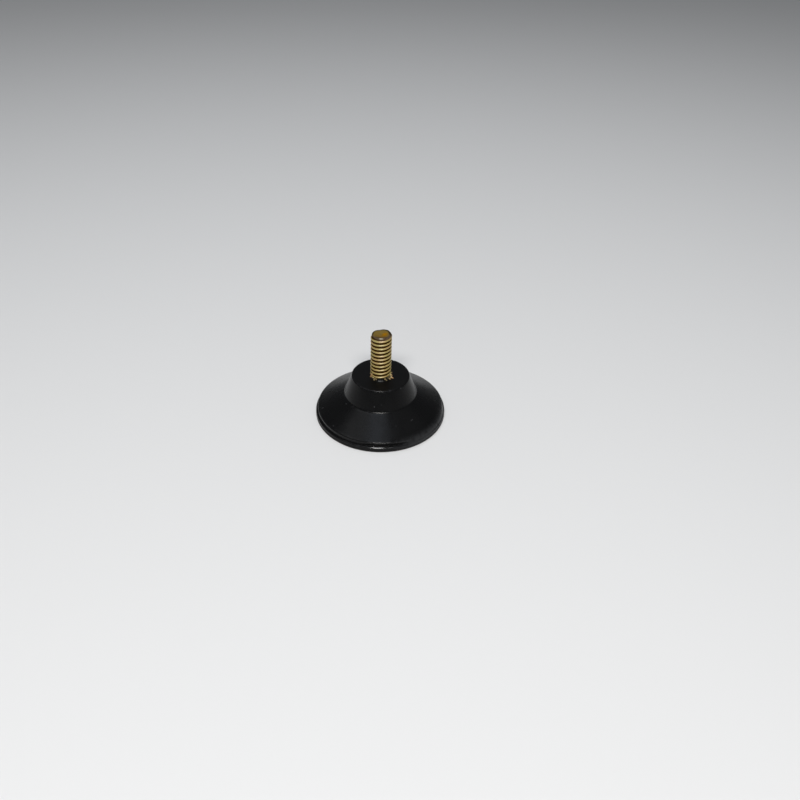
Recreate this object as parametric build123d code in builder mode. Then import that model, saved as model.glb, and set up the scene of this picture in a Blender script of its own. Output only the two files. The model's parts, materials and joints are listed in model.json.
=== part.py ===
"""Moulded rubber foot on a threaded stud.

The rubber is moulded in one piece round the head of a plated hex bolt, and the bolt's
thread stands out of the boss as the stud that screws up into an appliance's base.
+Z runs up along the stud, and the origin is the centre of the face that the foot stands on.
"""

import os
from math import cos, radians, tan

from build123d import *

# Rubber, from the floor up, in millimetres
base_diameter = 40.5  # outside of the lip, the widest part
lip_height = 1.8  # upright edge of the lip
ledge_width = 0.6  # step in from the lip to the edge of the flange
flange_edge_height = 3.05  # where the flange's slope begins
root_diameter = 22.4  # where the slope meets the boss
root_height = 7.8
boss_diameter = 17.7  # across the boss's flat top
body_height = 14.1  # floor to the boss's flat top

# Underside of the rubber
standing_ring_width = 3.5  # flat ring that meets the floor
recess_depth = 1.2  # hollow in the middle, which keeps the foot from rocking
recess_wall_run = 1.0  # how far the recess's wall slopes inwards

# Edges and corners of the rubber
floor_edge_chamfer = 0.3
lip_edge_radius = 0.35
flange_edge_radius = 0.35
root_corner_radius = 0.6
boss_edge_radius = 0.35

# Bolt moulded into the rubber: 1/4 in, 20 threads to the inch, 3/4 in long under the head
thread_diameter = 6.35  # over the crests
thread_pitch = 1.27
pitch_drop_share = 0.6495  # the pitch diameter is smaller by this share of the pitch
bolt_length = 19.05  # under the head to the point
stud_projection = 14.85  # how much of the bolt stands out of the boss
mouth_depth = 0.15  # below the boss's top, where rubber starts to fill the thread's grooves
point_chamfer = 0.6
head_across_flats = 11.11
head_height = 3.97
crown_inset = 0.3  # from the head's flats in to the flat circle on its outside
crown_angle = 30.0  # slope of the head's chamfer, in degrees
hexagon_sides = 6

# Heights and radii that follow from the sizes above
base_radius = base_diameter / 2
flange_radius = base_radius - ledge_width
recess_radius = base_radius - standing_ring_width
thread_radius = thread_diameter / 2
shank_radius = thread_radius - pitch_drop_share * thread_pitch / 2  # buried thread and its filling
stud_top = body_height + stud_projection
thread_start = body_height - mouth_depth
head_seat = stud_top - bolt_length
head_crown = head_seat - head_height
head_corner_radius = head_across_flats / 2 / cos(radians(180 / hexagon_sides))
crown_radius = head_across_flats / 2 - crown_inset
crown_drop = (head_corner_radius - crown_radius) * tan(radians(crown_angle))

# Bolt: a hexagon head, crown down inside the rubber, and a stud that stands up out of it
with BuildPart() as threaded_stud:
    with BuildSketch(Plane.XY.offset(head_crown)):
        RegularPolygon(head_across_flats / 2, hexagon_sides, major_radius=False)
    extrude(amount=head_height)
    # The crown's chamfer takes off the six lower corners
    with BuildSketch(Plane.XZ):
        with BuildLine():
            Polyline(
                (0, head_crown),
                (crown_radius, head_crown),
                (head_corner_radius, head_crown + crown_drop),
                (head_corner_radius, head_seat),
                (0, head_seat),
                close=True,
            )
        make_face()
    revolve(axis=Axis.Z, mode=Mode.INTERSECT)
    # Shank in the rubber, bare thread above it, and the chamfered point
    with BuildSketch(Plane.XZ):
        with BuildLine():
            Polyline(
                (0, head_seat),
                (shank_radius, head_seat),
                (shank_radius, thread_start),
                (thread_radius, thread_start),
                (thread_radius, stud_top - point_chamfer),
                (thread_radius - point_chamfer, stud_top),
                (0, stud_top),
                close=True,
            )
        make_face()
    revolve(axis=Axis.Z)

# Rubber: one section turned about the axis, with the bolt's own shape left out of it
with BuildPart() as rubber_body:
    with BuildSketch(Plane.XZ):
        with BuildLine():
            underside = Polyline(
                (0, recess_depth),
                (recess_radius - recess_wall_run, recess_depth),
                (recess_radius, 0),
                (base_radius - floor_edge_chamfer, 0),
                (base_radius, floor_edge_chamfer),
            )
            outside = FilletPolyline(
                underside @ 1,
                (base_radius, lip_height),
                (flange_radius, lip_height),
                (flange_radius, flange_edge_height),
                (root_diameter / 2, root_height),
                (boss_diameter / 2, body_height),
                (0, body_height),
                radius=(
                    lip_edge_radius,
                    0,
                    flange_edge_radius,
                    root_corner_radius,
                    boss_edge_radius,
                ),
            )
            Line(outside @ 1, underside @ 0)
        make_face()
    revolve(axis=Axis.Z)
    add(threaded_stud.part, mode=Mode.SUBTRACT)

os.makedirs("parts", exist_ok=True)
rubber_body.part.label = "rubber_body"
export_step(rubber_body.part, "parts/rubber_body.step")
threaded_stud.part.label = "threaded_stud"
export_step(threaded_stud.part, "parts/threaded_stud.step")
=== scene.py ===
"""Looks of a moulded rubber foot on a threaded stud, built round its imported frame, in metres."""

import json
import math

import bmesh
import bpy
from mathutils import Matrix, Quaternion, Vector, noise


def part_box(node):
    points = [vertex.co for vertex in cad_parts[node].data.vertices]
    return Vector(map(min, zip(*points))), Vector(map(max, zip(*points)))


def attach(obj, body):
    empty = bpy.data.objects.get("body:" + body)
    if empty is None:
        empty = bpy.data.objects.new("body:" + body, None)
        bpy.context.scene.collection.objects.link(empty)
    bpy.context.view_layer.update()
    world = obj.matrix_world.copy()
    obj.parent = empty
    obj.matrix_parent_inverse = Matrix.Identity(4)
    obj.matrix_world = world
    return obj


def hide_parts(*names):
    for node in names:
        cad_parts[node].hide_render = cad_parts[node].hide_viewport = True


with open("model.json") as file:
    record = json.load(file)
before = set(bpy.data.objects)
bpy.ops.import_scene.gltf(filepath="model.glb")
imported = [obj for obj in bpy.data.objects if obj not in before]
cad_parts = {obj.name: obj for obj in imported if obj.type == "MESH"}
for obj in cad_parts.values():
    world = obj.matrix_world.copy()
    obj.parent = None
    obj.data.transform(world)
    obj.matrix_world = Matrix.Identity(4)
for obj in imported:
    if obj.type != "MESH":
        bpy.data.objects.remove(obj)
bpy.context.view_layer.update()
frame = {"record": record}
mounts = {mount["name"]: mount for mount in frame["record"]["mounts"]}
mm = 0.001

# Threaded stud
# A steel hex bolt with a rolled coarse thread, moulded head down into the rubber so that the
# thread stands up out of the boss. Rolling left its end cupped, and the yellow film on its zinc
# plate is rubbed pale on the crests, with dirt and old rubber in the grooves.
stud_low, stud_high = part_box("threaded_stud")
boss_top = mounts["boss_seat"]["pos_m"][2]
crest_radius = mounts["stud"]["dims"]["r_mm"] * mm
thread_pitch = 1.27 * mm
groove_depth = 0.66 * mm
crest_half_share = 0.08  # of the pitch, each side of a crest's middle
root_half_share = 0.46
front_bearing = 270  # degrees, the side that faces -Y
front_crest_height = 27.68 * mm  # a crest's height on that side
stud_lean = 0.008  # sideways for each length up, because the bolt sat a little askew in the mould
shank_radius = 2.76 * mm
runout_start_depth = 1.5 * mm  # below the boss's top, where the thread starts to grow out of the shank
runout_end_depth = 0.4 * mm  # and where it has its full height
runout_low = boss_top - runout_start_depth
runout_high = boss_top - runout_end_depth
head_height = 3.97 * mm
head_crown = stud_low.z
head_seat = head_crown + head_height
head_flat = stud_high.y
hexagon_sector = 60  # degrees from one corner of the head to the next
crown_inset = 0.3 * mm  # from the head's flats in to the flat circle on its outside
crown_radius = head_flat - crown_inset
crown_angle = 30  # slope of the head's chamfer, in degrees
crown_slope = math.tan(math.radians(crown_angle))
seam_bearing = 90  # degrees, the back, where each ring of a mesh begins
columns_round_stud = 168
rows_in_turn = 14
spare_turns_below = 1  # rows made past each end of the thread, in turns
spare_turns_above = 1.5

# Cupped end: a rounded rim, wider and higher on one side, and a rough bowl inside it
rim_drop = 0.36 * mm  # from the stud's top to the rim's usual level
rim_level = stud_high.z - rim_drop
rim_top_radius = 2.46 * mm
rim_rounding = 0.25 * mm
rim_shoulder = 0.27 * mm  # below the rim, where its rounding meets the chamfer
chamfer_spread = 0.85  # how much wider than tall the chamfer is
end_length = 1.2 * mm  # of the stretch whose rows follow the rim, not the thread
end_start = stud_high.z - end_length
# Rows of that stretch, as shares of the way up to the rim, and then of the way in to the bowl's middle
end_shares = (0, 0.14, 0.28, 0.42, 0.54, 0.64, 0.72, 0.79, 0.85, 0.90, 0.94, 0.97, 0.99, 1)
bowl_shares = (0.03, 0.07, 0.11, 0.16, 0.22, 0.28, 0.34, 0.40, 0.46, 0.52)
bowl_shares += (0.58, 0.64, 0.70, 0.76, 0.82, 0.88, 0.93, 0.97, 1)
bowl_depth = 0.55 * mm
bowl_wall_start = -0.1  # share of the way in at which the bowl's wall starts to fall
bowl_flat_share = 0.80  # and at which it has come down to the bowl's floor
bowl_rough_share = 0.3  # and at which it is fully rough
# Where the rim is wider: bearing and spread in degrees, and how much
rim_swells = (
    (25, 55, 0.22 * mm),
    (165, 35, 0.18 * mm),
)
# Rises and dips of the rim: bearing and spread in degrees, and height
rim_changes = (
    (38, 42, 0.36 * mm),
    (100, 18, -0.12 * mm),
    (134, 20, 0.08 * mm),
    (205, 30, -0.04 * mm),
    (330, 24, -0.08 * mm),
)
end_grain = 1.1 * mm
end_roughness = 0.09 * mm
end_noise_fall = 0.8  # how fast the finer layers of that roughness fade
end_noise_gap = 2.0  # how much finer each layer is than the one before
end_noise_layers = 3

# Small damage to the crests: bearing in degrees, height, half width and depth of each nick, and
# then the grain and depth of random dents
crest_nicks = (
    (267, 27.62 * mm, 0.16 * mm, 0.16 * mm),
    (266, 25.08 * mm, 0.14 * mm, 0.12 * mm),
    (262, 21.20 * mm, 0.20 * mm, 0.08 * mm),
    (301, 23.85 * mm, 0.25 * mm, 0.08 * mm),
    (232, 18.55 * mm, 0.25 * mm, 0.09 * mm),
    (120, 23.00 * mm, 0.30 * mm, 0.12 * mm),
    (40, 20.20 * mm, 0.28 * mm, 0.10 * mm),
)
nick_tallness = 2  # how much taller than wide each nick is
dent_grain = 1.3 * mm
dent_depth = 0.05 * mm


def degrees_between(first, second):
    """From one bearing to another, the short way round."""
    return (first - second + 180) % 360 - 180


def smooth_share(value, low, high):
    """0 below low, 1 above high, with an S-shaped rise between."""
    share = min(max((value - low) / (high - low), 0), 1)
    return share * share * (3 - 2 * share)


def outward(bearing):
    """Level unit vector at a bearing in degrees."""
    angle = math.radians(bearing)
    return Vector((math.cos(angle), math.sin(angle), 0))


def rim_height(bearing):
    """Height of the stud's rim at a bearing."""
    height = rim_level
    for centre, spread, change in rim_changes:
        height += change * math.exp(-((degrees_between(bearing, centre) / spread) ** 2))
    return height


def rim_reach(bearing):
    """Radius of the rim's top at a bearing."""
    radius = rim_top_radius
    for centre, spread, swell in rim_swells:
        radius += swell * math.exp(-((degrees_between(bearing, centre) / spread) ** 2))
    return radius


def thread_depth(bearing, height):
    """0 on the thread's crest, 1 at the bottom of its groove."""
    turns = (height - front_crest_height) / thread_pitch - (bearing - front_bearing) / 360
    return smooth_share(abs(turns - round(turns)), crest_half_share, root_half_share)


def stud_radius(bearing, height):
    """Radius of the stud's skin: shank, thread, damage, chamfer and rim."""
    depth_share = thread_depth(bearing, height)
    radius = crest_radius - groove_depth * depth_share
    spot = outward(bearing) * crest_radius + Vector((0, 0, height))
    dents = max(noise.noise(spot / dent_grain), 0) * dent_depth
    for nick_bearing, nick_height, half_width, depth in crest_nicks:
        across = math.radians(degrees_between(bearing, nick_bearing)) * crest_radius
        away = math.hypot(across, (height - nick_height) / nick_tallness)
        dents += depth * (1 - smooth_share(away, 0, half_width))
    radius -= dents * (1 - depth_share)
    grown = smooth_share(height, runout_low, runout_high)
    radius = shank_radius + (radius - shank_radius) * grown
    below_rim = rim_height(bearing) - height
    if below_rim < rim_shoulder:
        share = 1 - max(below_rim, 0) / rim_shoulder
        return min(radius, rim_reach(bearing) + rim_rounding * math.sqrt(1 - share * share))
    return min(radius, rim_reach(bearing) + rim_rounding + (below_rim - rim_shoulder) * chamfer_spread)


def hexagon_radius(bearing):
    """Distance from the axis to the head's side at a bearing."""
    return head_flat / math.cos(math.radians(bearing % hexagon_sector - hexagon_sector / 2))


def crown_edge_height(bearing):
    """Height at which the crown's chamfer reaches the head's side."""
    return head_crown + (hexagon_radius(bearing) - crown_radius) * crown_slope


def bearings_round(columns):
    """Bearings spread evenly all the way round, from the seam on."""
    return [seam_bearing + 360 * column / columns for column in range(columns)]


def ring_round(bearings, radius_at, height_at):
    """Points round the axis, from a radius and a height that may each change with the bearing."""
    ring = []
    for bearing in bearings:
        radius = radius_at(bearing) if callable(radius_at) else radius_at
        height = height_at(bearing) if callable(height_at) else height_at
        ring.append(outward(bearing) * radius + Vector((0, 0, height)))
    return ring


def skin_rings(bm, rings, lead=0):
    """Joins each ring to the next. At the seam a ring runs on into the one lead places later."""
    skin = [[bm.verts.new(point) for point in ring] for ring in rings]
    for row in range(len(rings) - 1 - lead):
        for column in range(len(rings[row])):
            following = column + 1
            climb = 0
            if following == len(rings[row]):
                following = 0
                climb = lead
            corners = (
                skin[row][column],
                skin[row + climb][following],
                skin[row + 1 + climb][following],
                skin[row + 1][column],
            )
            bm.faces.new(corners)
    return skin


weld_distance = 0.0005 * mm
sharp_angle = math.radians(50)


def finish_mesh(bm, name):
    """Welds what coincides, turns the faces outwards and makes the object."""
    bmesh.ops.remove_doubles(bm, verts=bm.verts, dist=weld_distance)
    bmesh.ops.dissolve_degenerate(bm, edges=bm.edges, dist=weld_distance)
    loose = [vert for vert in bm.verts if not vert.link_faces]
    bmesh.ops.delete(bm, geom=loose, context="VERTS")
    bmesh.ops.recalc_face_normals(bm, faces=bm.faces)
    if bm.calc_volume(signed=True) < 0:
        bmesh.ops.reverse_faces(bm, faces=bm.faces)
    mesh = bpy.data.meshes.new(name)
    bm.to_mesh(mesh)
    bm.free()
    mesh.shade_smooth()
    mesh.set_sharp_from_angle(angle=sharp_angle)
    piece = bpy.data.objects.new(name, mesh)
    bpy.context.scene.collection.objects.link(piece)
    return piece


stud_bearings = bearings_round(columns_round_stud)
head_rings = [
    ring_round(stud_bearings, 0, head_crown),
    ring_round(stud_bearings, crown_radius, head_crown),
    ring_round(stud_bearings, hexagon_radius, crown_edge_height),
    ring_round(stud_bearings, hexagon_radius, head_seat),
    ring_round(stud_bearings, shank_radius, head_seat),
    ring_round(stud_bearings, shank_radius, runout_low),
]

# Rows of the thread climb with it. Those that would pass its two ends lie on the end rings and
# weld away.
turns_below = math.ceil((front_crest_height - runout_low) / thread_pitch + spare_turns_below)
turns_above = math.ceil((end_start - front_crest_height) / thread_pitch + spare_turns_above)
thread_rings = []
for row in range(-turns_below * rows_in_turn, turns_above * rows_in_turn + 1):
    ring = []
    for bearing in stud_bearings:
        turns = row / rows_in_turn + (bearing - front_bearing) / 360
        height = front_crest_height + turns * thread_pitch
        height = min(max(height, runout_low), end_start)
        ring.append(outward(bearing) * stud_radius(bearing, height) + Vector((0, 0, height)))
    thread_rings.append(ring)

end_rings = []
for share in end_shares:
    ring = []
    for bearing in stud_bearings:
        height = end_start + (rim_height(bearing) - end_start) * share
        ring.append(outward(bearing) * stud_radius(bearing, height) + Vector((0, 0, height)))
    end_rings.append(ring)
for share in bowl_shares:
    ring = []
    for bearing in stud_bearings:
        spot = outward(bearing) * rim_reach(bearing) * (1 - share)
        rim = rim_height(bearing) * (1 - share) + rim_level * share
        rough = noise.fractal(spot / end_grain, end_noise_fall, end_noise_gap, end_noise_layers)
        rough *= end_roughness * smooth_share(share, 0, bowl_rough_share)
        fallen = bowl_depth * smooth_share(share, bowl_wall_start, bowl_flat_share)
        spot.z = rim - fallen + rough
        ring.append(spot)
    end_rings.append(ring)

bm = bmesh.new()
groove_layer = bm.verts.layers.float.new("groove")
skin_rings(bm, head_rings)
thread_skin = skin_rings(bm, thread_rings, lead=rows_in_turn)
end_skin = skin_rings(bm, end_rings)
for ring in thread_skin + end_skin[: len(end_shares)]:
    for bearing, vert in zip(stud_bearings, ring):
        vert[groove_layer] = thread_depth(bearing, vert.co.z)
for vert in bm.verts:
    vert.co.x += max(vert.co.z - boss_top, 0) * stud_lean
stud = finish_mesh(bm, "plated_stud")


def place(tree, kind, inputs=None, **settings):
    """Adds a node with its settings, and sets or links its inputs."""
    made = tree.nodes.new(kind)
    for name, value in settings.items():
        setattr(made, name, value)
    for name, value in (inputs or {}).items():
        if isinstance(value, bpy.types.NodeSocket):
            tree.links.new(value, made.inputs[name])
        else:
            made.inputs[name].default_value = value
    return made


def sum_of(tree, kind, first, second):
    """Output of a Math node."""
    return place(tree, "ShaderNodeMath", {0: first, 1: second}, operation=kind).outputs[0]


def ranged(tree, value, low, high, start=0.0, end=1.0):
    """A value carried smoothly from one range to another."""
    inputs = {"Value": value, "From Min": low, "From Max": high, "To Min": start, "To Max": end}
    return place(tree, "ShaderNodeMapRange", inputs, interpolation_type="SMOOTHSTEP").outputs["Result"]


def blend(tree, share, first, second):
    """Two colours mixed by a share of the second."""
    made = place(tree, "ShaderNodeMix", {"Factor": share, 6: first, 7: second}, data_type="RGBA")
    return made.outputs[2]


def colour_steps(tree, value, *colours):
    """Colours spread evenly over a value from 0 to 1."""
    made = place(tree, "ShaderNodeValToRGB", {"Fac": value})
    steps = made.color_ramp.elements
    for number, colour in enumerate(colours):
        position = number / (len(colours) - 1)
        step = steps[number] if number < 2 else steps.new(position)
        step.position = position
        step.color = (*colour, 1)
    return made.outputs["Color"]


def new_group(name, inputs, output):
    """A shader node group with float inputs, given with their defaults, and one float output."""
    group = bpy.data.node_groups.new(name, "ShaderNodeTree")
    for label, default in inputs.items():
        socket = group.interface.new_socket(name=label, in_out="INPUT", socket_type="NodeSocketFloat")
        socket.default_value = default
    group.interface.new_socket(name=output, in_out="OUTPUT", socket_type="NodeSocketFloat")
    return group, group.nodes.new("NodeGroupInput").outputs, group.nodes.new("NodeGroupOutput").inputs


def new_material(name, piece):
    """An empty material put on a piece."""
    material = bpy.data.materials.new(name)
    material.use_nodes = True
    material.node_tree.nodes.clear()
    piece.data.materials.clear()
    piece.data.materials.append(material)
    return material.node_tree


# Mottling: soft clouds from 0 to 1 at a grain size in metres, for tints and uneven gloss
usual_grain = 2.0 * mm
cloud_low = 0.35
cloud_high = 0.65
inputs = {"Grain": usual_grain, "Low": cloud_low, "High": cloud_high}
mottling, given, wanted = new_group("mottling", inputs, "Cloud")
spot = place(mottling, "ShaderNodeTexCoord").outputs["Object"]
inputs = {"Vector": spot, "Scale": sum_of(mottling, "DIVIDE", 1.0, given["Grain"]), "Detail": 4.0}
clouds = place(mottling, "ShaderNodeTexNoise", inputs).outputs["Fac"]
mottling.links.new(ranged(mottling, clouds, given["Low"], given["High"]), wanted["Cloud"])

# Specks: scattered round spots, 1 at the middle, on a share of the cells of a grain size in metres
usual_speck_share = 0.3
usual_speck_size = 0.1  # as a share of the grain
inputs = {"Grain": usual_grain, "Share": usual_speck_share, "Size": usual_speck_size}
specks, given, wanted = new_group("specks", inputs, "Speck")
spot = place(specks, "ShaderNodeTexCoord").outputs["Object"]
inputs = {"Vector": spot, "Scale": sum_of(specks, "DIVIDE", 1.0, given["Grain"])}
cells = place(specks, "ShaderNodeTexVoronoi", inputs)
lot = place(specks, "ShaderNodeSeparateColor", {"Color": cells.outputs["Color"]})
chosen = sum_of(specks, "LESS_THAN", lot.outputs["Red"], given["Share"])
size = sum_of(specks, "MULTIPLY", given["Size"], lot.outputs["Green"])
inside = ranged(specks, cells.outputs["Distance"], size, 0.0)
specks.links.new(sum_of(specks, "MULTIPLY", inside, chosen), wanted["Speck"])


def clouds_in(tree, grain, low=cloud_low, high=cloud_high):
    """Mottling placed in a material."""
    inputs = {"Grain": grain, "Low": low, "High": high}
    return place(tree, "ShaderNodeGroup", inputs, node_tree=mottling).outputs["Cloud"]


def specks_in(tree, grain, share, size):
    """Specks placed in a material."""
    inputs = {"Grain": grain, "Share": share, "Size": size}
    return place(tree, "ShaderNodeGroup", inputs, node_tree=specks).outputs["Speck"]


oval_reach_off_skin = 0.6 * mm
oval_core_share = 0.3  # of its size, inside which an oval has its full strength


def oval_mask(tree, spot, centre, facing, half_length, half_width, turn, strength):
    """Strength inside a small oval that lies on a surface, fading at its edge."""
    level = Vector((0, 0, 1)).cross(facing).normalized()
    along = Quaternion(facing, math.radians(turn)) @ level
    axes = Matrix((along, facing.cross(along), facing)).transposed()
    inputs = {
        "Vector": spot,
        "Location": centre,
        "Rotation": axes.to_euler(),
        "Scale": (half_length, half_width, oval_reach_off_skin),
    }
    inside = place(tree, "ShaderNodeMapping", inputs, vector_type="TEXTURE").outputs["Vector"]
    apart = place(tree, "ShaderNodeVectorMath", {0: inside}, operation="LENGTH").outputs["Value"]
    return ranged(tree, apart, 1.0, oval_core_share, 0.0, strength)


# Colours and finish of the plate
film_greenish = (0.37, 0.295, 0.066)
film_straw = (0.41, 0.295, 0.072)
film_pinkish = (0.41, 0.270, 0.076)
# Colour of the painted highlight on the front of the rim
painted_glint_colour = (0.60, 0.56, 0.42)
groove_dirt = (0.030, 0.013, 0.0004)
rim_brown = (0.092, 0.063, 0.040)
rim_painted_shade = (0.026, 0.020, 0.008)
rim_brown_start_depth = 1.10 * mm  # below the stud's top
rim_brown_full_depth = 0.60 * mm
rim_brown_low = stud_high.z - rim_brown_start_depth
rim_brown_high = stud_high.z - rim_brown_full_depth
rim_brown_clouds = (0.2, 0.45)
rim_dark_near = -0.8 * mm  # from the axis to the back, where the painted shade on the rim begins
rim_dark_far = 0.6 * mm
bowl_olive = (0.155, 0.105, 0.026)
bowl_brown = (0.165, 0.088, 0.014)
bowl_orange = (0.235, 0.108, 0.002)
# Dark brown of the bowl: its painted shade on the near side, and random dark patches
bowl_dark_and_painted_shade = (0.085, 0.052, 0.036)
tint_grain = 2.2 * mm
fine_tint_grain = 0.5 * mm
fine_tint_clouds = (0.45, 0.75)
dirt_grain = 0.7 * mm
dirt_wander = 0.16  # of the groove's depth, at the dirt's ragged edge
dirt_start = 0.28  # share of the groove's depth at which the dirt begins
dirt_full = 0.54  # and at which it covers the film
bowl_grain = 0.9 * mm
bowl_dark_clouds = (0.55, 0.90)
bowl_edge_radius = 2.40 * mm
bowl_inner_radius = 2.20 * mm
bowl_near = -1.7 * mm  # from the axis to the back, where the bowl comes out of its painted shade
bowl_far = -0.7 * mm
stain_facing = Vector((0, -0.6, 0.8))
stain_depth = 0.6 * mm  # below the stud's top
stain_right = 1.05 * mm
stain_back = 0.50 * mm
stain_centre = Vector((stain_right, stain_back, stud_high.z - stain_depth))
stain_half_length = 1.4 * mm
stain_half_width = 1.1 * mm
stain_turn = -20  # degrees
stain_spread_right = 0.35 * mm
stain_spread_centre = Vector((stain_spread_right, 0, stud_high.z - stain_depth))
stain_spread_half_length = 2.6 * mm
stain_spread_half_width = 1.7 * mm
# A painted highlight: a pale glint on the front of the rim, where its rounding faces the front lamp
glint_bearing = 271
glint_centre = outward(glint_bearing) * rim_top_radius + Vector((0, 0, rim_level))
glint_facing = Vector((0, -0.6, 0.8))
glint_half_length = 0.85 * mm
glint_half_width = 0.26 * mm
pit_grain = 0.8 * mm
pit_share = 0.35
pit_size = 0.30
film_metallic = 0.35
film_roughness = 0.50
soil_roughness = 0.70

plate = new_material("yellow_zinc_plate", stud)
spot = place(plate, "ShaderNodeTexCoord").outputs["Object"]
parted = place(plate, "ShaderNodeSeparateXYZ", {"Vector": spot}).outputs
level_spot = place(plate, "ShaderNodeCombineXYZ", {"X": parted["X"], "Y": parted["Y"]}).outputs[0]
reach = place(plate, "ShaderNodeVectorMath", {0: level_spot}, operation="LENGTH").outputs["Value"]
depth = place(plate, "ShaderNodeAttribute", attribute_name="groove").outputs["Fac"]
dirt_edge = sum_of(plate, "MULTIPLY", clouds_in(plate, dirt_grain), dirt_wander)
dirty = ranged(plate, sum_of(plate, "ADD", depth, dirt_edge), dirt_start, dirt_full)
film = colour_steps(plate, clouds_in(plate, tint_grain), film_greenish, film_straw, film_pinkish)
film = blend(plate, clouds_in(plate, fine_tint_grain, *fine_tint_clouds), film, (*film_straw, 1))
film = blend(plate, dirty, film, (*groove_dirt, 1))
near_rim = ranged(plate, parted["Z"], rim_brown_low, rim_brown_high)
# Painted shade: the rim is darker towards the back
rim_far = ranged(plate, parted["Y"], rim_dark_near, rim_dark_far)
rim_film_and_painted_shade = blend(plate, rim_far, (*rim_brown, 1), (*rim_painted_shade, 1))
near_rim = sum_of(plate, "MULTIPLY", near_rim, clouds_in(plate, bowl_grain, *rim_brown_clouds))
film = blend(plate, near_rim, film, rim_film_and_painted_shade)
in_bowl = ranged(plate, reach, bowl_edge_radius, bowl_inner_radius)
# Painted shade: the near side of the bowl is darker, lightening towards the back
bowl = blend(plate, ranged(plate, parted["Y"], bowl_near, bowl_far), (*bowl_dark_and_painted_shade, 1), (*bowl_olive, 1))
inputs = (stain_spread_centre, stain_facing, stain_spread_half_length, stain_spread_half_width, 0, 1.0)
bowl = blend(plate, oval_mask(plate, spot, *inputs), bowl, (*bowl_brown, 1))
inputs = (stain_centre, stain_facing, stain_half_length, stain_half_width, stain_turn, 1.0)
bowl = blend(plate, oval_mask(plate, spot, *inputs), bowl, (*bowl_orange, 1))
bowl = blend(plate, clouds_in(plate, bowl_grain, *bowl_dark_clouds), bowl, (*bowl_dark_and_painted_shade, 1))
film = blend(plate, in_bowl, film, bowl)
pits = specks_in(plate, pit_grain, pit_share, pit_size)
film = blend(plate, pits, film, (*groove_dirt, 1))
# Painted highlight on the rim's front
glint = oval_mask(plate, spot, glint_centre, glint_facing, glint_half_length, glint_half_width, 0, 1.0)
film = blend(plate, glint, film, (*painted_glint_colour, 1))
soiled = sum_of(plate, "MAXIMUM", sum_of(plate, "MAXIMUM", dirty, in_bowl), near_rim)
inputs = {
    "Base Color": film,
    "Metallic": ranged(plate, soiled, 0.0, 1.0, film_metallic, 0.0),
    "Roughness": ranged(plate, soiled, 0.0, 1.0, film_roughness, soil_roughness),
    "Specular IOR Level": 0.05,
    "Coat Weight": ranged(plate, soiled, 0.0, 1.0, 1.0, 0.0),
    "Coat Roughness": 0.40,
    "Coat IOR": 2.0,
}
shader = place(plate, "ShaderNodeBsdfPrincipled", inputs)
place(plate, "ShaderNodeOutputMaterial", {"Surface": shader.outputs["BSDF"]})

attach(stud, "root")
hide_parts("threaded_stud")

# Rubber body
# One moulding of black rubber, closed round the bolt's head: a lip that stands on the floor,
# a sloping flange, and a tapered boss whose flat top has a little torn flash round the thread.
# The mould left its edges rounded, and use has nicked the lip and the boss's edge.
base_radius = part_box("rubber_body")[1].x
lip_height = 1.8 * mm
lip_rounding = 0.36 * mm
ledge_width = 0.6 * mm
ledge_drop = 0.08 * mm  # how far the step behind the lip falls on its way in to the flange's edge
ledge_height = lip_height - ledge_drop
ledge_rounding = 0.10 * mm
flange_radius = base_radius - ledge_width
flange_edge_height = 3.05 * mm
root_radius = 11.2 * mm
root_height = 7.8 * mm
boss_radius = 8.85 * mm
collar_radius = 5.2 * mm  # inside it the boss's top is fine enough for the torn flash
standing_ring_width = 3.5 * mm
recess_radius = base_radius - standing_ring_width
recess_depth = 1.2 * mm
recess_wall_run = 1.0 * mm
recess_corner_rounding = 0.3 * mm
ring_edge_rounding = 0.25 * mm
floor_edge_rounding = 0.3 * mm
flange_edge_rounding = 0.40 * mm
root_rounding = 0.9 * mm
boss_edge_rounding = 0.35 * mm
hole_radius = 2.4 * mm
columns_round_rubber = 288
arc_steps = 6
run_step = 0.7 * mm
collar_step = 0.09 * mm

# Corners of the turned outline: distance from the axis, height, rounding and how worn it is
rubber_corners = (
    (0, recess_depth, 0, 0),
    (recess_radius - recess_wall_run, recess_depth, recess_corner_rounding, 0),
    (recess_radius, 0, ring_edge_rounding, 1),
    (base_radius, 0, floor_edge_rounding, 1),
    (base_radius, lip_height, lip_rounding, 1),
    (flange_radius, ledge_height, ledge_rounding, 0),
    (flange_radius, flange_edge_height, flange_edge_rounding, 1),
    (root_radius, root_height, root_rounding, 0.6),
    (boss_radius, boss_top, boss_edge_rounding, 1),
    (collar_radius, boss_top, 0, 0),
    (hole_radius, boss_top, 0, 0),
)


def rounded_outline(corners):
    """Points along an outline with its corners rounded, each with how worn it is."""
    outline = []
    for number, (reach, height, rounding, wear) in enumerate(corners):
        corner = Vector((reach, height))
        if rounding == 0:
            outline.append((corner, 0))
            continue
        before = (Vector(corners[number - 1][:2]) - corner).normalized()
        after = (Vector(corners[number + 1][:2]) - corner).normalized()
        half = before.angle(after) / 2
        centre = corner + (before + after).normalized() * (rounding / math.sin(half))
        start = (corner + before * (rounding / math.tan(half)) - centre).normalized()
        end = (corner + after * (rounding / math.tan(half)) - centre).normalized()
        for step in range(arc_steps + 1):
            outline.append((centre + start.slerp(end, step / arc_steps) * rounding, wear))
    filled = [outline[0]]
    for point, wear in outline[1:]:
        last = filled[-1][0]
        on_collar = min(last.y, point.y) > root_height and (last.x + point.x) / 2 < collar_radius
        steps = math.ceil((point - last).length / (collar_step if on_collar else run_step))
        for step in range(1, steps):
            filled.append((last.lerp(point, step / steps), 0))
        filled.append((point, wear))
    return filled


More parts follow.
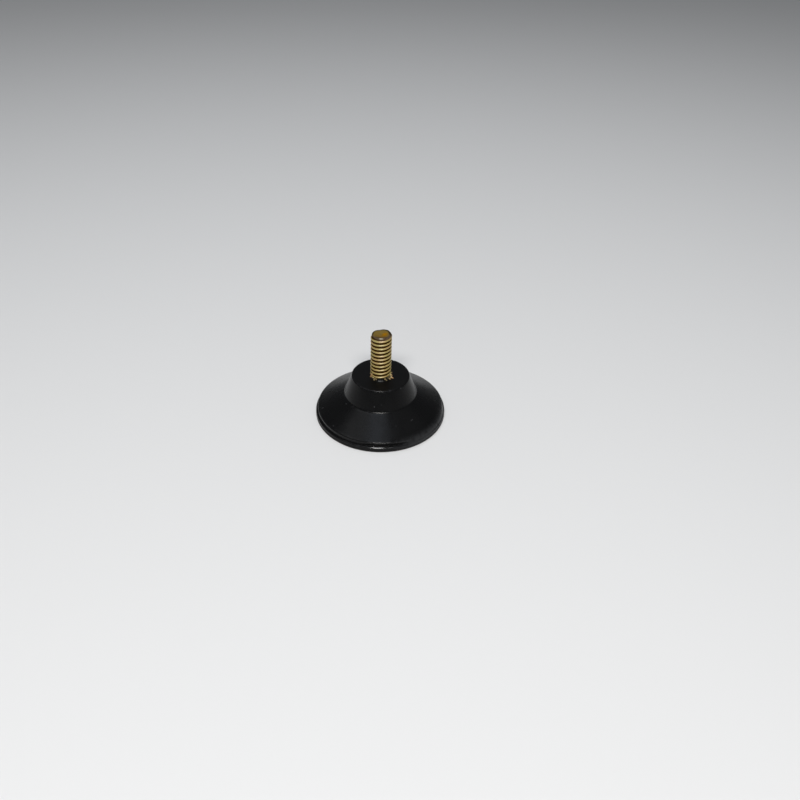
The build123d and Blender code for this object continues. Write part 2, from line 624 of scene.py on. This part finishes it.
# Nicks: bearing in degrees, distance from the axis, height, half width and depth
rubber_nicks = (
    (262.0, base_radius, lip_height, 0.28 * mm, 0.12 * mm),
    (257.5, base_radius, lip_height, 0.60 * mm, 0.04 * mm),
    (277.0, base_radius, lip_height, 1.20 * mm, 0.05 * mm),
    (287.5, boss_radius, boss_top, 0.45 * mm, 0.18 * mm),
    (293.0, boss_radius, boss_top, 0.30 * mm, 0.12 * mm),
    (62.0, boss_radius, boss_top, 0.45 * mm, 0.16 * mm),
    (150.0, base_radius, lip_height, 0.60 * mm, 0.22 * mm),
    (40.0, flange_radius, flange_edge_height, 0.50 * mm, 0.14 * mm),
)
nick_narrowing = 1.4  # how much shorter across the edge than along it each nick is
# At the front the foot of the flange's edge is undercut, with its bearing and spreads in degrees
undercut = 0.28 * mm
undercut_bearing = 277
undercut_full_spread = 12
undercut_end_spread = 30
mould_wave = 0.035 * mm
mould_wave_grain = 7.0 * mm

# Torn flash that creeps up the thread: bearing and half width in degrees, the ridge's distance
# from the axis, how far it falls outside that, and its height
rubber_flash = (
    (270, 22, 3.60 * mm, 0.66 * mm, 0.48 * mm),
    (228, 14, 3.20 * mm, 0.40 * mm, 0.14 * mm),
    (312, 12, 3.30 * mm, 0.45 * mm, 0.16 * mm),
    (355, 20, 3.20 * mm, 0.40 * mm, 0.20 * mm),
    (40, 24, 3.25 * mm, 0.50 * mm, 0.36 * mm),
    (95, 22, 3.20 * mm, 0.45 * mm, 0.24 * mm),
    (150, 20, 3.25 * mm, 0.50 * mm, 0.32 * mm),
)
flash_inner_radius = 2.95 * mm  # inside it the flash fills the groove
flash_fill = 0.22 * mm
flash_grain = 0.55 * mm
flash_raggedness = 0.08
flash_full_share = 0.55  # of its half width, out to which a tongue of flash has its full height
flash_end_share = 1.25  # and at which it ends


def rubber_point(bearing, reach, height):
    """A point on the rubber's outside, with the mould's waviness, the nicks and the torn flash."""
    away = outward(bearing)
    spot = away * reach + Vector((0, 0, height))
    if height > lip_height / 2 and reach > collar_radius:
        spot -= away * (noise.noise(spot / mould_wave_grain) * 0.5 + 0.5) * mould_wave
    if height > ledge_height and reach < flange_radius + ledge_rounding:
        off_front = abs(degrees_between(bearing, undercut_bearing))
        share = 1 - smooth_share(off_front, undercut_full_spread, undercut_end_spread)
        spot -= away * undercut * share * (1 - smooth_share(height, ledge_height, flange_edge_height))
    for centre, nick_reach, nick_height, half_width, depth in rubber_nicks:
        across = math.radians(degrees_between(bearing, centre)) * nick_reach
        apart = math.hypot(across, math.hypot(reach - nick_reach, height - nick_height) * nick_narrowing)
        dig = depth * (1 - smooth_share(apart, 0, half_width))
        spot -= (away + Vector((0, 0, 1))).normalized() * dig
    if reach <= collar_radius and height > root_height:
        climb = 0
        for centre, spread, ridge, fall, tall in rubber_flash:
            aside = abs(degrees_between(bearing, centre)) / spread
            sideways = 1 - smooth_share(aside, flash_full_share, flash_end_share)
            along = smooth_share(reach, ridge, ridge + fall)
            inner = smooth_share(reach, ridge, flash_inner_radius)
            climb += (tall * (1 - along) + flash_fill * inner) * sideways
        spot.z += climb * (1 + flash_raggedness * noise.noise(spot / flash_grain))
    return spot


# Worn side of the flange's edge, where its corner and the step below it are rubbed into one curve,
# with its bearing and spreads in degrees
rub_bearing = 328
rub_full_spread = 20
rub_end_spread = 50
rub_start_reach = 16.8 * mm
# Between these distances from the axis the rubbed edge turns paler grey: scuffed rubber with a painted
# sheen
scuff_and_sheen_start = 18.3 * mm
scuff_and_sheen_full = 20.0 * mm
flange_slope = (root_height - flange_edge_height) / (flange_radius - root_radius)
rub_start = Vector((rub_start_reach, root_height - (rub_start_reach - root_radius) * flange_slope))
rub_corner = Vector((flange_radius, flange_edge_height))
rub_end = Vector((base_radius - lip_rounding, lip_height))


def rub_share(bearing):
    """How far the flange's edge is rubbed away at a bearing, from 0 to 1."""
    return 1 - smooth_share(abs(degrees_between(bearing, rub_bearing)), rub_full_spread, rub_end_spread)


def rubbed_outline(outline):
    """For each point of an outline, where it goes on the rubbed curve, or the point itself off it."""
    points = [point for point, wear in outline]
    lengths = [0]
    for first, second in zip(points, points[1:]):
        past_lip = max(first.x, second.x) < base_radius - lip_rounding / 2
        off_slope = min(first.x, second.x) > rub_start_reach
        above_ledge = max(first.y, second.y) > ledge_height
        on_edge = past_lip and off_slope and above_ledge
        lengths.append(lengths[-1] + (second - first).length * on_edge)
    curve = []
    for point, length in zip(points, lengths):
        share = length / lengths[-1]
        if 0 < share < 1:
            upper = rub_corner.lerp(rub_start, share)
            curve.append(rub_end.lerp(rub_corner, share).lerp(upper, share))
        else:
            curve.append(point)
    return curve


rubber_bearings = bearings_round(columns_round_rubber)
rubber_outline = rounded_outline(rubber_corners)
rubber_rings = []
for (point, wear), rubbed in zip(rubber_outline, rubbed_outline(rubber_outline)):
    ring = []
    for bearing in rubber_bearings:
        moved = point.lerp(rubbed, rub_share(bearing))
        ring.append(rubber_point(bearing, moved.x, moved.y))
    rubber_rings.append(ring)
rubber_rings += [
    ring_round(rubber_bearings, hole_radius, runout_low),
    ring_round(rubber_bearings, shank_radius, runout_low),
    ring_round(rubber_bearings, shank_radius, head_seat),
    ring_round(rubber_bearings, hexagon_radius, head_seat),
    ring_round(rubber_bearings, hexagon_radius, crown_edge_height),
    ring_round(rubber_bearings, crown_radius, head_crown),
    ring_round(rubber_bearings, 0, head_crown),
]

bm = bmesh.new()
edge_layer = bm.verts.layers.float.new("worn_edge")
scuff_and_sheen_layer = bm.verts.layers.float.new("scuffed")
rubber_skin = skin_rings(bm, rubber_rings)
for ring, (point, wear) in zip(rubber_skin, rubber_outline):
    for bearing, vert in zip(rubber_bearings, ring):
        vert[edge_layer] = wear * (1 - rub_share(bearing))
        vert[scuff_and_sheen_layer] = rub_share(bearing) * smooth_share(vert.co.xy.length, scuff_and_sheen_start, scuff_and_sheen_full)
rubber = finish_mesh(bm, "moulded_rubber")

# Colours and finish of the rubber
rubber_black = (0.0031, 0.0031, 0.0033)
rubber_worn = (0.011, 0.011, 0.012)
# Paler grey of the rubbed edge: scuffed rubber, with a painted sheen on top
rubber_scuffed_and_painted_sheen = (0.0245, 0.0250, 0.0265)
dust_grey = (0.075, 0.075, 0.080)
gloss_grain = 3.0 * mm
slope_roughness = (0.23, 0.28)
smear_grain = 9.0 * mm
smear_clouds = (0.5, 0.7)
smear_dulling = 0.04
wear_grain = 1.2 * mm
wear_clouds = (0.48, 0.70)
scuff_and_sheen_clouds = (0.10, 0.60)
edge_polish = 0.06
edge_shine = 0.055
dust_grain = 2.3 * mm
dust_share = 0.22
dust_size = 0.13
dust_strength = 0.45
grain_size = 0.16 * mm
grain_height = 0.003 * mm
top_band_below = 0.10 * mm
top_band_above = 0.12 * mm
top_dulling = 0.10
lip_dulling = 0.32
streaks_round = 26.0
streak_length = 14.0 * mm
streak_clouds = (0.30, 0.75)
streak_dulling = 0.025

# Marks left by use: bearing in degrees, distance from the axis, height, half length, half width, turn
# in degrees and strength
rubber_marks = (
    (312.6, 9.00 * mm, 13.7 * mm, 0.30 * mm, 0.20 * mm, 90, 0.8),
    (260.1, 10.56 * mm, 9.5 * mm, 0.22 * mm, 0.16 * mm, 90, 0.9),
    (309.1, 15.07 * mm, 5.6 * mm, 0.75 * mm, 0.14 * mm, 10, 0.5),
    (192.0, 18.31 * mm, 3.8 * mm, 0.60 * mm, 0.12 * mm, 70, 0.7),
    (24.0, 16.08 * mm, 5.1 * mm, 1.30 * mm, 0.16 * mm, 130, 0.7),
    (173.7, 13.74 * mm, 6.4 * mm, 0.30 * mm, 0.20 * mm, 0, 0.5),
    (359.2, 17.18 * mm, 4.4 * mm, 0.25 * mm, 0.20 * mm, 0, 0.6),
    (210.5, 12.13 * mm, 7.3 * mm, 0.30 * mm, 0.18 * mm, 0, 0.6),
    (221.0, 18.72 * mm, 3.6 * mm, 0.28 * mm, 0.18 * mm, 30, 0.6),
    (96.0, 15.50 * mm, 5.4 * mm, 0.90 * mm, 0.12 * mm, 40, 0.5),
    (70.0, 17.80 * mm, 4.1 * mm, 0.25 * mm, 0.20 * mm, 0, 0.5),
)
mark_clouds = (0.2, 0.5)
mark_dulling = 0.3
lip_shine_bearing = 267.6
lip_shine_half_length = 2.5 * mm
lip_shine_half_width = 0.5 * mm
flange_fall = Vector((flange_radius - root_radius, root_height - flange_edge_height))
boss_fall = Vector((root_radius - boss_radius, boss_top - root_height))

black = new_material("black_moulded_rubber", rubber)
spot = place(black, "ShaderNodeTexCoord").outputs["Object"]
dust = specks_in(black, dust_grain, dust_share, dust_size)
marked = sum_of(black, "MULTIPLY", dust, dust_strength)
for bearing, reach, height, half_length, half_width, turn, strength in rubber_marks:
    fall = boss_fall if height > root_height else flange_fall
    facing = (outward(bearing) * fall.y + Vector((0, 0, fall.x))).normalized()
    centre = outward(bearing) * reach + Vector((0, 0, height))
    mark = oval_mask(black, spot, centre, facing, half_length, half_width, turn, strength)
    marked = sum_of(black, "MAXIMUM", marked, mark)
marked = sum_of(black, "MULTIPLY", marked, clouds_in(black, grain_size, *mark_clouds))
edge = place(black, "ShaderNodeAttribute", attribute_name="worn_edge").outputs["Fac"]
worn = sum_of(black, "MULTIPLY", edge, clouds_in(black, wear_grain, *wear_clouds))
skin = blend(black, worn, (*rubber_black, 1), (*rubber_worn, 1))
# Where the flange's edge is rubbed, the skin is paler grey: partly scuffed rubber, partly a painted
# sheen
scuff_and_sheen = place(black, "ShaderNodeAttribute", attribute_name="scuffed").outputs["Fac"]
scuff_and_sheen = sum_of(black, "MULTIPLY", scuff_and_sheen, clouds_in(black, wear_grain, *scuff_and_sheen_clouds))
skin = blend(black, scuff_and_sheen, skin, (*rubber_scuffed_and_painted_sheen, 1))
skin = blend(black, marked, skin, (*dust_grey, 1))

# Faint streaks down the slopes, where the moulding was pulled and rubbed
parted = place(black, "ShaderNodeSeparateXYZ", {"Vector": spot}).outputs
level_spot = place(black, "ShaderNodeCombineXYZ", {"X": parted["X"], "Y": parted["Y"]}).outputs[0]
unit = place(black, "ShaderNodeVectorMath", {0: level_spot}, operation="NORMALIZE").outputs["Vector"]
turned = place(black, "ShaderNodeVectorMath", {0: unit, "Scale": streaks_round}, operation="SCALE")
slow = sum_of(black, "DIVIDE", parted["Z"], streak_length)
drawn = place(black, "ShaderNodeCombineXYZ", {"Z": slow}).outputs[0]
drawn = place(black, "ShaderNodeVectorMath", {0: turned.outputs["Vector"], 1: drawn}, operation="ADD")
streaks = place(black, "ShaderNodeTexNoise", {"Vector": drawn.outputs["Vector"], "Scale": 1.0})
streaks = ranged(black, streaks.outputs["Fac"], *streak_clouds, 0.0, streak_dulling)
gloss = ranged(black, clouds_in(black, gloss_grain), 0.0, 1.0, *slope_roughness)
smears = sum_of(black, "MULTIPLY", clouds_in(black, smear_grain, *smear_clouds), smear_dulling)
gloss = sum_of(black, "ADD", sum_of(black, "ADD", gloss, smears), streaks)
gloss = sum_of(black, "ADD", gloss, sum_of(black, "MULTIPLY", marked, mark_dulling))
gloss = sum_of(black, "SUBTRACT", gloss, sum_of(black, "MULTIPLY", edge, edge_polish))

# The boss's flat top and the lip's upright side are duller than the slopes
on_top = ranged(black, parted["Z"], boss_top - top_band_below, boss_top)
under_flash = ranged(black, parted["Z"], boss_top + top_band_above, boss_top)
on_top = sum_of(black, "MULTIPLY", on_top, under_flash)
on_lip = ranged(black, parted["Z"], lip_height - lip_rounding, lip_height - lip_rounding * 2)
gloss = sum_of(black, "ADD", gloss, sum_of(black, "MULTIPLY", on_top, top_dulling))
gloss = sum_of(black, "ADD", gloss, sum_of(black, "MULTIPLY", on_lip, lip_dulling))

# A short stretch of the lip's edge is rubbed to a shine, and the other worn edges a very little
shine_facing = (outward(lip_shine_bearing) + Vector((0, 0, 1))).normalized()
shine_centre = outward(lip_shine_bearing) * (base_radius - lip_rounding / 2)
shine_centre.z = lip_height - lip_rounding / 2
inputs = (shine_centre, shine_facing, lip_shine_half_length, lip_shine_half_width, 0, 1.0)
shine = oval_mask(black, spot, *inputs)
shine = sum_of(black, "MAXIMUM", shine, sum_of(black, "MULTIPLY", edge, edge_shine))
grain = place(black, "ShaderNodeTexNoise", {"Vector": spot, "Scale": 1 / grain_size, "Detail": 3.0})
bump = place(black, "ShaderNodeBump", {"Height": grain.outputs["Fac"], "Distance": grain_height})
inputs = {
    "Base Color": skin,
    "Roughness": gloss,
    "Specular IOR Level": 0.15,
    "Coat Weight": shine,
    "Coat Roughness": 0.15,
    "Coat IOR": 1.7,
    "Normal": bump.outputs["Normal"],
}
shader = place(black, "ShaderNodeBsdfPrincipled", inputs)
place(black, "ShaderNodeOutputMaterial", {"Surface": shader.outputs["BSDF"]})

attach(rubber, "root")
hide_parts("rubber_body")

# Torn plating
# Thin flakes peeled off the thread's last turn where it enters the rubber. They curl out over
# the boss in a ragged ring, pale where the zinc shows, and the rubber's flash covers the front.
flake_columns = 240
flake_inner_radius = 2.80 * mm
flake_inner_lift = 0.22 * mm  # above the boss's top
flake_inner_height = boss_top + flake_inner_lift
flake_rest_radius = 2.95 * mm
flake_rest_lift = 0.10 * mm
flake_rest_height = boss_top + flake_rest_lift
flake_thickness = 0.12 * mm
flake_grain = 0.35 * mm
flake_ragged_share = 0.25
flake_tip_share = 0.25  # of its half width, the blunt tip of a flake

# Flakes: bearing and half width in degrees, the tip's reach from the axis and its height above the
# boss, and how far up the thread the flake begins
flakes = (
    (207, 7, 3.62 * mm, 0.12 * mm, 1.10 * mm),
    (224, 6, 3.40 * mm, 0.34 * mm, 0.20 * mm),
    (238, 10, 4.00 * mm, 0.16 * mm, 0),
    (249, 5, 3.50 * mm, 0.22 * mm, 0),
    (293, 5, 3.45 * mm, 0.26 * mm, 0),
    (300, 7, 3.95 * mm, 0.16 * mm, 0),
    (318, 8, 4.10 * mm, 0.16 * mm, 0.10 * mm),
    (331, 9, 4.35 * mm, 0.18 * mm, 0.50 * mm),
    (342, 8, 3.75 * mm, 0.50 * mm, 0.90 * mm),
    (12, 8, 3.60 * mm, 0.30 * mm, 0),
    (40, 9, 3.45 * mm, 0.42 * mm, 0.30 * mm),
    (66, 6, 3.75 * mm, 0.26 * mm, 0),
    (100, 10, 3.50 * mm, 0.34 * mm, 0.20 * mm),
    (128, 6, 3.80 * mm, 0.24 * mm, 0),
    (150, 9, 3.45 * mm, 0.40 * mm, 0.40 * mm),
    (176, 7, 3.35 * mm, 0.24 * mm, 0),
)
flake_bearings = bearings_round(flake_columns)


def flake_edge(bearing):
    """Reach and height of the ragged ring's outer edge, and the height of its inner edge."""
    out = 0
    up = 0
    start = flake_inner_height
    for centre, half_width, tip_reach, lift, rise in flakes:
        aside = abs(degrees_between(bearing, centre)) / half_width
        share = 1 - smooth_share(aside, flake_tip_share, 1)
        out = max(out, (tip_reach - flake_rest_radius) * share)
        up = max(up, (boss_top + lift - flake_rest_height) * share)
        start = max(start, flake_inner_height + rise * share)
    ragged = 1 + noise.noise(outward(bearing) * crest_radius / flake_grain) * flake_ragged_share
    return flake_rest_radius + out * ragged, flake_rest_height + up, start


def flake_ring(along_share, thick_share):
    """A ring of the flakes' skin, part of the way from the inner edge to the tips."""
    ring = []
    for bearing in flake_bearings:
        reach, height, start = flake_edge(bearing)
        radius = flake_inner_radius + (reach - flake_inner_radius) * along_share
        middle = start + (height - start) * along_share**2
        ring.append(outward(bearing) * radius + Vector((0, 0, middle + flake_thickness * thick_share)))
    return ring


# Section of the ring: shares of the way out and of the thickness, round from the inner edge and back
flake_section = (
    (0, 0.5),
    (0.35, 0.5),
    (0.7, 0.4),
    (0.92, 0.25),
    (1, 0),
    (0.92, -0.25),
    (0.5, -0.45),
    (0, -0.5),
    (0, 0.5),
)
bm = bmesh.new()
skin_rings(bm, [flake_ring(along, thick) for along, thick in flake_section])
torn = finish_mesh(bm, "torn_plating")

torn_pale = (0.41, 0.33, 0.16)
torn_tan = (0.33, 0.19, 0.085)
torn_dark = (0.08, 0.05, 0.025)
torn_grain = 1.0 * mm
torn_metallic = 0.45
torn_roughness = (0.60, 0.42)
peeled = new_material("peeled_zinc_plate", torn)
cloud = clouds_in(peeled, torn_grain)
inputs = {
    "Base Color": colour_steps(peeled, cloud, torn_tan, torn_pale, torn_pale, torn_dark),
    "Metallic": torn_metallic,
    "Roughness": ranged(peeled, cloud, 0.0, 1.0, *torn_roughness),
}
shader = place(peeled, "ShaderNodeBsdfPrincipled", inputs)
place(peeled, "ShaderNodeOutputMaterial", {"Surface": shader.outputs["BSDF"]})

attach(torn, "root")

# Floor
# A wide flat sheet of pale matt board that the foot stands on. The foot only rests on it,
# and it isn't part of the foot.
floor_half = 3.0  # metres
floor_pale = (0.75, 0.75, 0.752)
floor_roughness = 0.9
floor_specular = 0.2
bm = bmesh.new()
bmesh.ops.create_grid(bm, x_segments=1, y_segments=1, size=floor_half)
floor = finish_mesh(bm, "pale_floor")
board = new_material("pale_board", floor)
inputs = {
    "Base Color": (*floor_pale, 1),
    "Roughness": floor_roughness,
    "Specular IOR Level": floor_specular,
}
shader = place(board, "ShaderNodeBsdfPrincipled", inputs)
place(board, "ShaderNodeOutputMaterial", {"Surface": shader.outputs["BSDF"]})

# Lights
# A broad soft lamp stands in front, a little higher than the camera. Three faint ones hang above
# and to the sides, a weak one stands behind, and the room gives a dim light of its own.
room_tint = (0.92, 0.96, 1.0)
room_strength = 0.16
scene = bpy.context.scene
scene.view_settings.view_transform = "Standard"
world = bpy.data.worlds.new("dim_room")
scene.world = world
world.use_nodes = True
room = world.node_tree.nodes["Background"]
room.inputs["Color"].default_value = (*room_tint, 1)
room.inputs["Strength"].default_value = room_strength


def aim_at(thing, target, turn=0.0):
    """Points a lamp or the camera at a place, turned about its own line of sight."""
    sight = (Vector(target) - thing.location).to_track_quat("-Z", "Y")
    thing.rotation_mode = "QUATERNION"
    thing.rotation_quaternion = sight @ Quaternion((0, 0, 1), math.radians(turn))


# Lamps: name, bearing and elevation in degrees, distance, width and depth in metres, watts and colour
lamps = (
    ("front_key", 269, 46, 0.75, 0.35, 0.10, 4.85, (1.0, 0.985, 0.96)),
    ("overhead_sheen", 250, 83.0, 0.60, 0.24, 0.24, 0.31, (0.80, 0.88, 1.0)),
    ("left_sheen", 180, 66, 0.65, 0.30, 0.30, 0.25, (0.96, 0.98, 1.0)),
    ("right_sheen", 5, 58, 0.65, 0.36, 0.36, 0.07, (0.96, 0.98, 1.0)),
    ("high_back", 90, 70, 0.70, 0.30, 0.30, 0.5, (0.92, 0.95, 1.0)),
)
for name, bearing, elevation, distance, width, depth, watts, colour in lamps:
    data = bpy.data.lights.new(name, "AREA")
    data.shape = "ELLIPSE"
    data.size = width
    data.size_y = depth
    data.energy = watts
    data.color = colour
    lamp = bpy.data.objects.new(name, data)
    raised = math.radians(elevation)
    lamp.location = (outward(bearing) * math.cos(raised) + Vector((0, 0, math.sin(raised)))) * distance
    aim_at(lamp, (0, 0, 0))
    scene.collection.objects.link(lamp)

# Camera
# It stands in front of the foot, about 24 cm away and well above it, and looks slightly past it,
# turned a little about its line of sight.
camera_distance = 240 * mm
camera_elevation = math.radians(38.08)
camera_aim = Vector((6.23, 2.09, 2.69)) * mm
camera_turn = 1.66  # degrees
camera_lens = 33.95
camera_clip = 5 * mm
camera_data = bpy.data.cameras.new("camera")
camera_data.lens = camera_lens
camera_data.clip_start = camera_clip
camera = bpy.data.objects.new("camera", camera_data)
level = outward(front_bearing) * math.cos(camera_elevation)
camera.location = (level + Vector((0, 0, math.sin(camera_elevation)))) * camera_distance
aim_at(camera, camera_aim, camera_turn)
scene.collection.objects.link(camera)
scene.camera = camera
